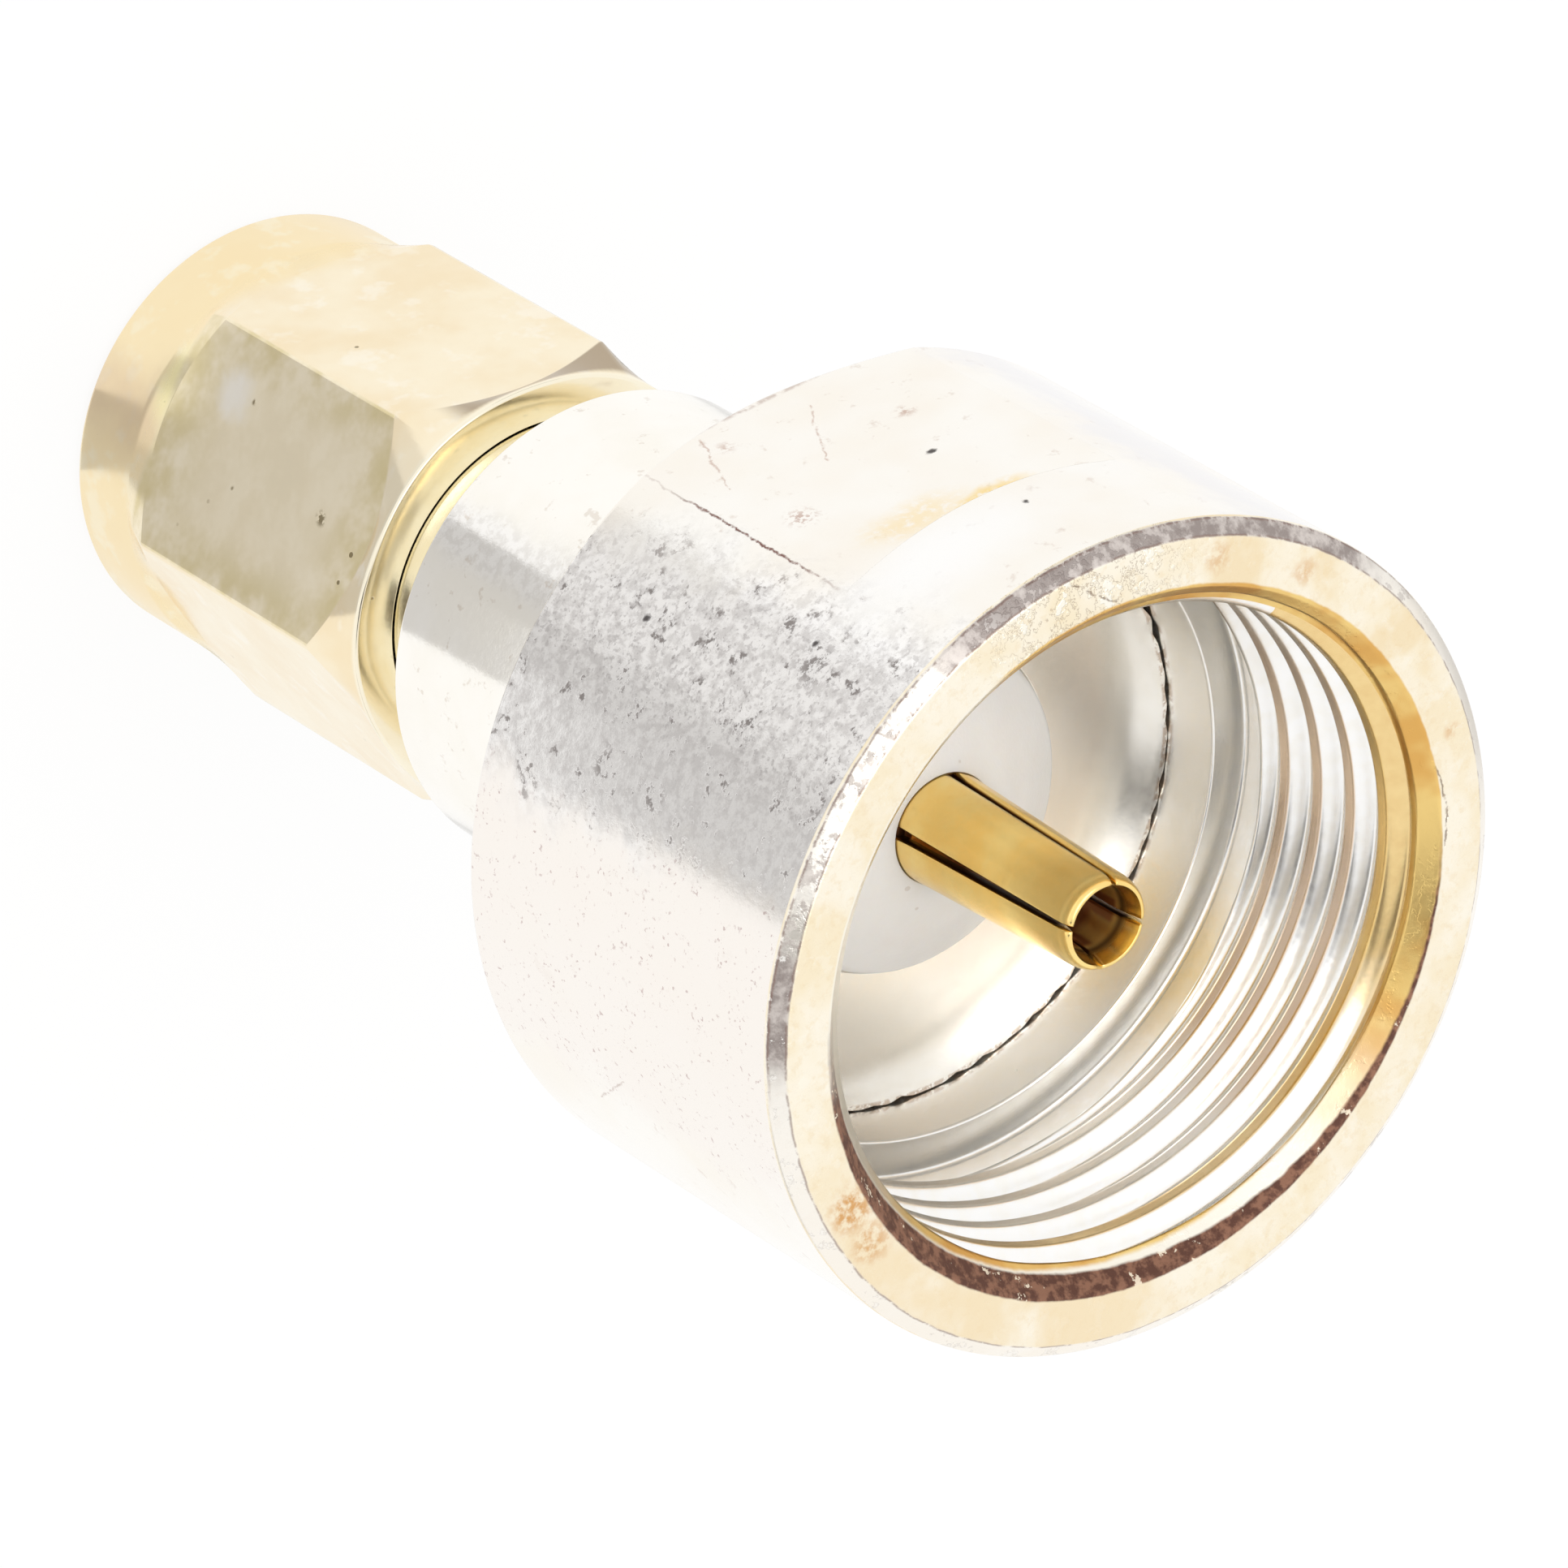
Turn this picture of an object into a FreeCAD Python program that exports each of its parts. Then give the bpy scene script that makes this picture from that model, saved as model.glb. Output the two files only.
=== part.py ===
"""Coaxial adapter between an SMA plug and a larger screw plug.

Millimetres. +Z runs up the common axis, from the SMA coupling nut, whose front
face is the base at Z = 0, to the open mouth of the coupling shell. +X points out
of one wrench flat. Every piece is turned about Z and written as its own solid.
"""
import FreeCAD
import Part
import math
import os

# Clearances
seat_gap = 0.02            # radial gap of pieces that are pressed or glued together
running_gap = 0.06         # radial gap of a piece that turns on another
end_play = 0.05            # axial gap of a piece that turns on another

# Centre contact, one piece from the pin to the slotted socket
pin_dia = 0.92
pin_projection = 2.4       # past the reference plane
pin_taper_length = 0.45
pin_tip_dia = 0.4
conductor_dia = 1.27
socket_bore_dia = 1.2
socket_wall = 0.32         # at the fingers' tips
socket_spread = 0.14       # how much wider the fingers' root is, in radius
socket_projection = 4.75   # out of the front insulator's crown
socket_slot_sink = 0.2     # how far the slots run on below the crown
socket_bore_sink = 1.25    # how far the bore runs on below the crown
socket_lip_length = 0.3    # the fingers turn in over this length to their tips
socket_lip_inset = 0.12
socket_lip_land = 0.04     # flat ring on the tips
socket_lead_in = 0.7       # length of the flare inside the tips
socket_slot_width = 0.22   # at the root of the fingers
socket_slot_pinch = 0.12   # how much narrower the slots are at the tips
socket_slot_angle = -19.8  # first slot, degrees from +X
stop_rise = 0.2            # the collar that stops the contact, above the root
stop_length = 0.8

# Insulators
rear_insulator_dia = 4.1
front_insulator_dia = 6.4
front_insulator_proud = 0.25  # of the rim, above the flange
front_insulator_crown = 1.05  # how far the coned face rises from the rim to the contact
front_insulator_break = 0.12  # chamfer of the rim

# SMA ferrule, the outer conductor that carries the nut
ferrule_recess = 3.4       # from the nut's front face to the reference plane
ferrule_wall = 0.22
ferrule_shoulder = 0.5     # from the collar down to the spigot
ferrule_spigot_length = 2.2
ferrule_tip_chamfer = 0.08

# Split retaining ring of the nut
ring_setback = 1.45        # from the nut's rear face to the ring's middle
ring_width = 0.6
ring_depth = 0.62          # radial thickness
ring_bite = 0.22           # how far it stands out of the ferrule's collar
ring_split = 0.8
ring_groove_depth = 0.45   # in the ferrule's collar

# SMA coupling nut
nut_length = 9.5
nut_jack_space = 0.53      # radial space for the jack between tube and thread
nut_relief_depth = 0.43
nut_relief_length = 1.9
nut_bore_step = 0.15
nut_bore_length = 2.6      # of the rear bore that runs on the ferrule's collar
nut_flat_wall = 0.32       # between a flat and the ring's groove
nut_front_collar_rise = 0.2
nut_front_collar_length = 1.8
nut_front_run_out = 0.4    # from the collar up or down to the flats
nut_rear_rim_rise = 0.25
nut_rear_run_out = 0.5
nut_front_cone_length = 1.1  # chamfer of the hexagon's corners, from the collar
nut_rear_cone_length = 1.15  # from the rear face
nut_corner_break = 0.04     # turned off the hexagon's corners
nut_cone_clear = 0.02       # of the corner chamfers outside the collar and the rim
nut_edge_chamfer = 0.2
nut_thread_chamfer = 0.35
nut_mouth_chamfer = 0.22
nut_rest_angle = -5.4      # how far the flats are turned from the shell's, degrees

# Gasket at the foot of the ferrule's tube
gasket_thickness = 0.7
gasket_slack = 0.16        # radial space left inside the nut's relief

# Body with the neck and the serrated flange
neck_gap = 1.4             # between the nut's rear face and the neck
neck_wall = 1.33           # round the front insulator
neck_length = 8.5
neck_edge_chamfer = 0.3
flange_thickness = 1.2
flange_overhang = 1.36
tooth_count = 60
tooth_depth = 0.16
tooth_land = 0.12          # share of the pitch that stays round on a tooth's tip
spigot_floor_gap = 0.1     # behind the ferrule's spigot
line_step_length = 1.8     # narrow bore between the spigot and the front insulator

# Coupling shell
shell_length = 9.75
shell_back_wall = 1.5
shell_seat_gap = 0.06      # round the flange's teeth
shell_seat_length = 2.55
shell_relief_step = 0.75
shell_relief_length = 0.8
shell_thread_step = 0.57   # from the relief in to the crests of the thread
shell_thread_depth = 0.54
shell_wall = 1.18          # outside the relief
shell_front_chamfer_radial = 0.31
shell_front_chamfer_axial = 0.23
shell_rear_chamfer = 0.6
shell_flat_depth = 0.585
shell_flat_setback = 3.16  # from the rim to the step of the flat

# Diameters that follow, from the axis outwards
socket_dia = socket_bore_dia + 2 * socket_wall
socket_root_dia = socket_dia + 2 * socket_spread
stop_dia = socket_root_dia + 2 * stop_rise
ferrule_tube_dia = rear_insulator_dia + 2 * (seat_gap + ferrule_wall)
nut_thread_minor_dia = ferrule_tube_dia + 2 * nut_jack_space
nut_relief_dia = nut_thread_minor_dia + 2 * nut_relief_depth
ferrule_collar_dia = nut_relief_dia + 2 * nut_bore_step
ferrule_spigot_dia = ferrule_collar_dia - 2 * ferrule_shoulder
nut_groove_dia = ferrule_collar_dia + 2 * (ring_bite + running_gap)
nut_across_flats = nut_groove_dia + 2 * nut_flat_wall
neck_dia = front_insulator_dia + 2 * (seat_gap + neck_wall)
flange_dia = neck_dia + 2 * flange_overhang
shell_seat_dia = flange_dia + 2 * shell_seat_gap
shell_relief_dia = shell_seat_dia + 2 * shell_relief_step
shell_thread_minor_dia = shell_relief_dia - 2 * shell_thread_step
shell_dia = shell_relief_dia + 2 * shell_wall

# Heights that follow, from the nut's front face upwards
collar_front = nut_length - nut_bore_length
nut_thread_end = collar_front - nut_relief_length
ring_middle = nut_length - ring_setback
neck_start = nut_length + neck_gap
spigot_floor = neck_start + ferrule_spigot_length + spigot_floor_gap
insulator_floor = spigot_floor + line_step_length
flange_back = neck_start + neck_length
flange_face = flange_back + flange_thickness
insulator_rim = flange_face + front_insulator_proud
insulator_crown = insulator_rim + front_insulator_crown
shell_back = flange_back - end_play - shell_back_wall
shell_rim = shell_back + shell_length
shell_shoulder = shell_back + shell_back_wall
shell_seat_end = shell_shoulder + shell_seat_length
shell_thread_start = shell_seat_end + shell_relief_length
socket_tip = insulator_crown + socket_projection
reach = 4 * shell_dia      # longer and wider than anything that it cuts

Z_AXIS = FreeCAD.Vector(0, 0, 1)
ORIGIN = FreeCAD.Vector(0, 0, 0)


def turned(outline):
    """Turn a closed outline of (radius, height) corners about Z."""
    corners = [FreeCAD.Vector(radius, 0, height) for radius, height in outline]
    wire = Part.makePolygon(corners + corners[:1])
    return Part.Face(wire).revolve(ORIGIN, Z_AXIS, 360)


def rod(diameter, low, high):
    return Part.makeCylinder(diameter / 2, high - low, FreeCAD.Vector(0, 0, low), Z_AXIS)


def tube(outer_dia, inner_dia, low, high):
    return rod(outer_dia, low, high).cut(rod(inner_dia, low, high))


def make_sma_coupling_nut():
    corner_radius = nut_across_flats / 2 / math.cos(math.radians(30))
    broken_radius = corner_radius - nut_corner_break
    front_radius = nut_across_flats / 2 + nut_front_collar_rise
    rear_radius = nut_across_flats / 2 + nut_rear_rim_rise
    thread_radius = nut_thread_minor_dia / 2
    relief_radius = nut_relief_dia / 2
    bore_radius = ferrule_collar_dia / 2 + running_gap
    groove_radius = nut_groove_dia / 2
    flats_low = nut_front_collar_length + nut_front_run_out
    flats_high = nut_length - nut_rear_run_out
    groove_low = ring_middle - ring_width / 2 - end_play
    groove_high = ring_middle + ring_width / 2 + end_play
    blank = turned([
        (thread_radius + nut_thread_chamfer, 0),
        (front_radius - nut_edge_chamfer, 0),
        (front_radius, nut_edge_chamfer),
        (front_radius, nut_front_collar_length - nut_front_run_out),
        (front_radius + nut_cone_clear, nut_front_collar_length),
        (broken_radius, nut_front_collar_length + nut_front_cone_length),
        (broken_radius, nut_length - nut_rear_cone_length),
        (rear_radius + nut_cone_clear, nut_length),
        (bore_radius + nut_mouth_chamfer, nut_length),
        (bore_radius, nut_length - nut_mouth_chamfer),
        (bore_radius, groove_high),
        (groove_radius, groove_high),
        (groove_radius, groove_low),
        (bore_radius, groove_low),
        (bore_radius, collar_front - end_play),
        (relief_radius, collar_front - end_play),
        (relief_radius, nut_thread_end),
        (thread_radius, nut_thread_end),
        (thread_radius, nut_thread_chamfer),
    ])
    collar = rod(2 * front_radius, 0, nut_front_collar_length)
    front_run_out = Part.makeLoft([
        six_arcs(front_radius, nut_front_collar_length),
        hexagon(corner_radius, flats_low),
    ], True, True)
    flats = Part.Face(hexagon(corner_radius, flats_low)).extrude(
        FreeCAD.Vector(0, 0, flats_high - flats_low))
    rear_run_out = Part.makeLoft([
        hexagon(corner_radius, flats_high),
        six_arcs(rear_radius, nut_length),
    ], True, True)
    outside = collar.fuse([front_run_out, flats, rear_run_out])
    nut = blank.common(outside).removeSplitter()
    nut.rotate(ORIGIN, Z_AXIS, nut_rest_angle)
    return nut


def corner_point(radius, height, angle):
    return FreeCAD.Vector(radius * math.cos(math.radians(angle)),
                          radius * math.sin(math.radians(angle)), height)


def hexagon(corner_radius, height):
    return Part.makePolygon([corner_point(corner_radius, height, 30 + 60 * k) for k in range(7)])


def six_arcs(radius, height):
    """A circle as six arcs that start where the hexagon's corners lie."""
    arcs = []
    for k in range(6):
        start, middle, end = [corner_point(radius, height, 30 + 60 * k + step) for step in (0, 30, 60)]
        arcs.append(Part.Arc(start, middle, end).toShape())
    return Part.Wire(arcs)


def make_sma_ferrule():
    bore_radius = rear_insulator_dia / 2 + seat_gap
    tube_radius = ferrule_tube_dia / 2
    collar_radius = ferrule_collar_dia / 2
    spigot_radius = ferrule_spigot_dia / 2
    groove_radius = collar_radius - ring_groove_depth
    groove_low = ring_middle - ring_width / 2 - end_play
    groove_high = ring_middle + ring_width / 2 + end_play
    spigot_end = neck_start + ferrule_spigot_length
    return turned([
        (bore_radius, ferrule_recess),
        (tube_radius - ferrule_tip_chamfer, ferrule_recess),
        (tube_radius, ferrule_recess + ferrule_tip_chamfer),
        (tube_radius, collar_front),
        (collar_radius, collar_front),
        (collar_radius, groove_low),
        (groove_radius, groove_low),
        (groove_radius, groove_high),
        (collar_radius, groove_high),
        (collar_radius, neck_start),
        (spigot_radius, neck_start),
        (spigot_radius, spigot_end),
        (bore_radius, spigot_end),
    ])


def make_retaining_ring():
    outer_dia = ferrule_collar_dia + 2 * ring_bite
    low = ring_middle - ring_width / 2
    high = ring_middle + ring_width / 2
    ring = tube(outer_dia, outer_dia - 2 * ring_depth, low, high)
    opening = Part.makeBox(reach, ring_split, reach, FreeCAD.Vector(0, -ring_split / 2, 0))
    return ring.cut(opening)


def make_sma_gasket():
    inner_dia = ferrule_tube_dia + 2 * seat_gap
    outer_dia = nut_relief_dia - 2 * gasket_slack
    return tube(outer_dia, inner_dia, collar_front - gasket_thickness, collar_front)


def make_adapter_body():
    neck_radius = neck_dia / 2
    spigot_bore = ferrule_spigot_dia / 2 + seat_gap
    line_bore = rear_insulator_dia / 2 + seat_gap
    insulator_bore = front_insulator_dia / 2 + seat_gap
    neck = turned([
        (spigot_bore, neck_start),
        (neck_radius - neck_edge_chamfer, neck_start),
        (neck_radius, neck_start + neck_edge_chamfer),
        (neck_radius, flange_back),
        (insulator_bore, flange_back),
        (insulator_bore, insulator_floor),
        (line_bore, insulator_floor),
        (line_bore, spigot_floor),
        (spigot_bore, spigot_floor),
    ])
    flange = serrated_disc().cut(rod(2 * insulator_bore, flange_back, flange_face))
    return neck.fuse(flange).removeSplitter()


def serrated_disc():
    """The flange as a disc with straight teeth milled all round its rim."""
    tip = flange_dia / 2
    root = tip - tooth_depth
    pitch = 360 / tooth_count
    half_land = tooth_land * pitch / 2
    outline = []
    for tooth in range(tooth_count):
        middle = tooth * pitch
        outline.append((tip, middle - half_land))
        outline.append((tip, middle + half_land))
        outline.append((root, middle + pitch / 2))
    corners = [
        FreeCAD.Vector(radius * math.cos(math.radians(angle)),
                       radius * math.sin(math.radians(angle)), flange_back)
        for radius, angle in outline
    ]
    rim = Part.makePolygon(corners + corners[:1])
    return Part.Face(rim).extrude(FreeCAD.Vector(0, 0, flange_thickness))


def make_coupling_shell():
    outer_radius = shell_dia / 2
    neck_bore = neck_dia / 2 + running_gap
    seat_bore = shell_seat_dia / 2
    relief_radius = shell_relief_dia / 2
    thread_radius = shell_thread_minor_dia / 2
    mouth_radius = thread_radius + shell_thread_depth
    blank = turned([
        (neck_bore, shell_back),
        (outer_radius - shell_rear_chamfer, shell_back),
        (outer_radius, shell_back + shell_rear_chamfer),
        (outer_radius, shell_rim - shell_front_chamfer_axial),
        (outer_radius - shell_front_chamfer_radial, shell_rim),
        (mouth_radius, shell_rim),
        (thread_radius, shell_rim - shell_thread_depth),
        (thread_radius, shell_thread_start),
        (relief_radius, shell_thread_start),
        (relief_radius, shell_seat_end),
        (seat_bore, shell_seat_end),
        (seat_bore, shell_shoulder),
        (neck_bore, shell_shoulder),
    ])
    flat_distance = outer_radius - shell_flat_depth
    flat_end = shell_rim - shell_flat_setback
    for side in (0, 180):
        waste = Part.makeBox(reach, reach, flat_end, FreeCAD.Vector(flat_distance, -reach / 2, 0))
        waste.rotate(ORIGIN, Z_AXIS, side)
        blank = blank.cut(waste)
    return blank


def make_rear_insulator():
    bore_radius = conductor_dia / 2 + seat_gap
    outer_radius = rear_insulator_dia / 2
    stop_radius = stop_dia / 2 + seat_gap
    stop_low = insulator_floor - stop_length
    return turned([
        (bore_radius, ferrule_recess),
        (outer_radius, ferrule_recess),
        (outer_radius, insulator_floor),
        (stop_radius, insulator_floor),
        (stop_radius, stop_low),
        (bore_radius, stop_low),
    ])


def make_front_insulator():
    rim_radius = front_insulator_dia / 2
    bore_radius = socket_root_dia / 2 + seat_gap
    return turned([
        (bore_radius, insulator_floor),
        (rim_radius, insulator_floor),
        (rim_radius, insulator_rim - front_insulator_break),
        (rim_radius - front_insulator_break, insulator_rim),
        (bore_radius, insulator_crown),
    ])


def make_centre_contact():
    pin_radius = pin_dia / 2
    conductor_radius = conductor_dia / 2
    stop_radius = stop_dia / 2
    root_radius = socket_root_dia / 2
    tip_radius = socket_dia / 2 - socket_lip_inset
    bore_radius = socket_bore_dia / 2
    stop_low = insulator_floor - stop_length
    pin_tip = ferrule_recess - pin_projection
    bore_floor = insulator_crown - socket_bore_sink
    contact = turned([
        (0, pin_tip),
        (pin_tip_dia / 2, pin_tip),
        (pin_radius, pin_tip + pin_taper_length),
        (pin_radius, ferrule_recess),
        (conductor_radius, ferrule_recess),
        (conductor_radius, stop_low),
        (stop_radius, stop_low),
        (stop_radius, insulator_floor),
        (root_radius, insulator_floor),
        (root_radius, insulator_crown),
        (socket_dia / 2, socket_tip - socket_lip_length),
        (tip_radius, socket_tip),
        (tip_radius - socket_lip_land, socket_tip),
        (bore_radius, socket_tip - socket_lead_in),
        (bore_radius, bore_floor),
        (0, bore_floor),
    ])
    for quarter in (0, 90):
        contact = contact.cut(finger_slot(socket_slot_angle + quarter))
    return contact


def finger_slot(angle):
    """A slot right across the socket, narrower at the fingers' tips."""
    low = insulator_crown - socket_slot_sink
    half_root = socket_slot_width / 2
    half_tip = half_root - socket_slot_pinch / 2
    corners = [
        FreeCAD.Vector(-socket_root_dia, -half_root, low),
        FreeCAD.Vector(-socket_root_dia, half_root, low),
        FreeCAD.Vector(-socket_root_dia, half_tip, socket_tip),
        FreeCAD.Vector(-socket_root_dia, -half_tip, socket_tip),
    ]
    face = Part.Face(Part.makePolygon(corners + corners[:1]))
    slot = face.extrude(FreeCAD.Vector(2 * socket_root_dia, 0, 0))
    slot.rotate(ORIGIN, Z_AXIS, angle)
    return slot


PIECES = {
    "sma_coupling_nut": make_sma_coupling_nut,
    "sma_ferrule": make_sma_ferrule,
    "retaining_ring": make_retaining_ring,
    "sma_gasket": make_sma_gasket,
    "adapter_body": make_adapter_body,
    "coupling_shell": make_coupling_shell,
    "rear_insulator": make_rear_insulator,
    "front_insulator": make_front_insulator,
    "centre_contact": make_centre_contact,
}

os.makedirs("parts", exist_ok=True)
for name, make in PIECES.items():
    piece = make()
    if piece.ShapeType == "Compound" and len(piece.Solids) == 1:
        piece = piece.Solids[0]
    piece.exportStep(os.path.join("parts", name + ".step"))
    print("%-18s %-8s solids %d valid %s volume %.2f mm3" % (
        name, piece.ShapeType, len(piece.Solids), piece.isValid(), piece.Volume))
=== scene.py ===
"""Looks of the coaxial adapter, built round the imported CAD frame.

Lengths here are in millimetres and angles in degrees until a mesh is made. Every
turned piece is a row of columns: one outline of (radius, height) for each angle
about Z, with rounded corners, skinned all the way round.
"""

import math
import random

import bmesh
import bpy
from mathutils import Matrix, Vector


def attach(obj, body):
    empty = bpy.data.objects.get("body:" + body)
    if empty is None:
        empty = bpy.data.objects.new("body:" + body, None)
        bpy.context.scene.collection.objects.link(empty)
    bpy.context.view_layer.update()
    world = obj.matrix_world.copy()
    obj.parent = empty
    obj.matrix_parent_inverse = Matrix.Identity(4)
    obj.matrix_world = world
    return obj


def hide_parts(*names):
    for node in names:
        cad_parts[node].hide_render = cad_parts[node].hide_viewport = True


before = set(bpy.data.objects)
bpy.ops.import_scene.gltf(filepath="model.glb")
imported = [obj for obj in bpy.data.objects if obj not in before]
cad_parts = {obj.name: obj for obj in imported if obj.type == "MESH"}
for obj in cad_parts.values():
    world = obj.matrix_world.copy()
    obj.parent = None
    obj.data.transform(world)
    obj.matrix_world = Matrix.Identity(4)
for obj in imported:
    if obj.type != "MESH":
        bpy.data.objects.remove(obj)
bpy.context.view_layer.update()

MM = 0.001
MERGE_METRES = 2e-7
SLIVER_METRES = 1e-8
ARC_POINTS = 4
LARGEST_TURN = 3.0          # radians; a sharper corner is rounded as this one
LARGEST_SHARE = 0.45        # of a side that one rounding may take


# Geometry helpers

def metres(radius, turn, z):
    """A point in metres, from a radius and a height in millimetres and a turn in radians."""
    return radius * math.cos(turn) * MM, radius * math.sin(turn) * MM, z * MM


def polar(radius, angle, z):
    """The same in millimetres, from degrees."""
    a = math.radians(angle)
    return radius * math.cos(a), radius * math.sin(a), z


def rounded(corners, points=ARC_POINTS):
    """Each (radius, height, rounding) corner of a closed outline becomes a short arc."""
    out = []
    count = len(corners)
    for i, (r, z, rounding) in enumerate(corners):
        here = Vector((r, z))
        back = Vector(corners[i - 1][:2]) - here
        ahead = Vector(corners[(i + 1) % count][:2]) - here
        reach = 0.0
        weight = 1.0
        if back.length > 1e-6 and ahead.length > 1e-6:
            turn = math.pi - back.angle(ahead)
            weight = math.cos(turn / 2)
            reach = rounding * math.tan(min(turn, LARGEST_TURN) / 2)
            reach = min(reach, LARGEST_SHARE * back.length, LARGEST_SHARE * ahead.length)
        start = here + back.normalized() * reach if reach else here
        end = here + ahead.normalized() * reach if reach else here
        for k in range(points):
            t = k / (points - 1)
            a, b, c = (1 - t) ** 2, 2 * t * (1 - t) * weight, t * t
            out.append((start * a + here * b + end * c) / (a + b + c))
    return out


def linked(obj):
    bpy.context.scene.collection.objects.link(obj)
    return obj


def mesh_object(name, bm):
    bmesh.ops.remove_doubles(bm, verts=bm.verts, dist=MERGE_METRES)
    bmesh.ops.dissolve_degenerate(bm, edges=bm.edges, dist=SLIVER_METRES)
    bmesh.ops.recalc_face_normals(bm, faces=bm.faces)
    mesh = bpy.data.meshes.new(name)
    bm.to_mesh(mesh)
    bm.free()
    mesh.shade_smooth()
    obj = linked(bpy.data.objects.new(name, mesh))
    weighted = obj.modifiers.new("weighted", "WEIGHTED_NORMAL")
    weighted.keep_sharp = True
    weighted.weight = 60
    return obj


def skin(name, angles, column, zones=()):
    """A closed solid from one closed outline for each angle. Each zone's row starts another material."""
    bm = bmesh.new()
    grid = [
        [bm.verts.new(metres(p[0], math.radians(angle), p[1])) for p in column(angle)]
        for angle in angles
    ]
    rows = len(grid[0])
    for i, near in enumerate(grid):
        far = grid[(i + 1) % len(grid)]
        for k in range(rows):
            ahead = (k + 1) % rows
            face = bm.faces.new((near[k], far[k], far[ahead], near[ahead]))
            face.material_index = sum(k >= first for first in zones)
    return mesh_object(name, bm)


def even(count, extra=()):
    """Evenly spread angles, with more where edges need them."""
    angles = {round(360 * i / count, 4) for i in range(count)}
    angles |= {round(a % 360, 4) for a in extra}
    return sorted(angles)


def ridge(z, angle, pitch, start, crest, rise):
    """How far into its groove a right-hand thread is, from 0 on the crest to 1 at the root."""
    phase = ((z - start) / pitch - angle / 360) % 1
    off = pitch / 2 - abs(phase - 0.5) * pitch
    t = min(1, max(0, (off - crest) / rise))
    return t * t * (3 - 2 * t)


# Coupling shell, with its thread cut into the bore

SHELL = 7.894
SHELL_LOW = 17.85
SHELL_RIM = 27.6
SHELL_STEPS = 288           # columns round the axis
REAR_BEVEL = 0.6
RIM_BEVEL = 0.31
RIM_BEVEL_HEIGHT = 0.23
SHELL_FLAT = 7.315
SHELL_FLAT_END = 24.44
FLAT_EDGE = math.degrees(math.acos(SHELL_FLAT / SHELL))
EDGE_WIDTH = 0.35           # degrees on each side of a flat's edge
MOUTH = 6.69
SHELL_HOLE = 4.61           # round the neck
SHELL_SEAT = 5.97           # round the flange
SEAT_LOW = 19.35
SEAT_HIGH = 21.9
SHELL_MINOR = 6.15
SHELL_ROOT = 6.5
SHELL_RELIEF = 6.72
RELIEF_SLOPE = 1.8
THREAD_LOW = 22.7
THREAD_ROWS = 150
THREAD_START = THREAD_LOW + 0.364
PITCH = 0.95
CREST = 0.1
RISE = 0.3
RIM_ROW = 20                # the rows of a column where the rim's and the bore's finish begin
BORE_ROW = 48


def shell_column(angle):
    off = (angle + 90) % 180 - 90
    flat = SHELL_FLAT / math.cos(math.radians(off)) if abs(off) < FLAT_EDGE else SHELL
    rear = SHELL - REAR_BEVEL
    corners = [
        (SHELL_HOLE, SHELL_LOW, 0.05),
        (min(rear, flat), SHELL_LOW, 0.10),
        (flat, SHELL_LOW + max(0, flat - rear), 0.14),
        (flat, SHELL_FLAT_END, 0.10),
        (SHELL, SHELL_FLAT_END, 0.06),
        (SHELL, SHELL_RIM - RIM_BEVEL_HEIGHT, 0.12),
        (SHELL - RIM_BEVEL, SHELL_RIM, 0.10),
        (MOUTH, SHELL_RIM, 0.10),
    ]
    outer = rounded(corners + [
        (SHELL_MINOR + 0.3, SHELL_RIM - 0.24, 0),
        (SHELL_SEAT, SEAT_LOW, 0),
        (SHELL_HOLE, SEAT_LOW, 0),
    ])[:len(corners) * ARC_POINTS]
    top = SHELL_RIM - 0.06
    bottom = THREAD_LOW - 0.12
    inner = []
    for i in range(THREAD_ROWS):
        z = top + (bottom - top) * i / (THREAD_ROWS - 1)
        cone = MOUTH - (SHELL_RIM - z)
        depth = ridge(z, angle, PITCH, THREAD_START, CREST, RISE)
        groove = SHELL_MINOR + (SHELL_ROOT - SHELL_MINOR) * depth
        relief = SHELL_RELIEF if z < THREAD_LOW else SHELL_RELIEF - (z - THREAD_LOW) * RELIEF_SLOPE
        inner.append(Vector((max(groove, cone, relief), z)))
    low = rounded([
        (SHELL_RELIEF, SEAT_HIGH + 0.6, 0),
        (SHELL_RELIEF, SEAT_HIGH, 0.12),
        (SHELL_SEAT, SEAT_HIGH, 0.06),
        (SHELL_SEAT, SEAT_LOW, 0.05),
        (SHELL_HOLE, SEAT_LOW, 0.05),
        (SHELL_HOLE, SEAT_LOW - 0.85, 0),
    ])[ARC_POINTS:-ARC_POINTS]
    return outer + inner + low


flat_edges = [
    side * FLAT_EDGE + beside + turn
    for side in (-1, 1)
    for beside in (-EDGE_WIDTH, 0, EDGE_WIDTH)
    for turn in (0, 180)
]
shell = skin("shell_turned", even(SHELL_STEPS, flat_edges), shell_column, (RIM_ROW, BORE_ROW))

# SMA coupling nut, with its retaining groove and thread

NUT_FLAT = 4.0
NUT_TURN = -5.4
NUT_CORNER = NUT_FLAT / math.cos(math.radians(30))
NUT_CORNER_BREAK = 0.03
NUT_STEPS = 240
NUT_COLLAR = 4.2
NUT_RIM = 4.25
NUT_BACK = 9.5
NUT_BORE = 3.46
NUT_GROOVE = 3.68
GROOVE_LOW = 7.7            # of the retaining ring's groove, in the nut and in the ferrule
GROOVE_HIGH = 8.4
NUT_RELIEF = 3.25
NUT_RELIEF_LOW = 5.0
NUT_MOUTH = 3.17
NUT_MINOR = 2.82
NUT_THREAD_DEPTH = 0.36
NUT_THREAD_ROWS = 130
NUT_THREAD_START = 0.3
NUT_PITCH = 0.706
NUT_CREST = 0.09
NUT_RISE = 0.22


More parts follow.
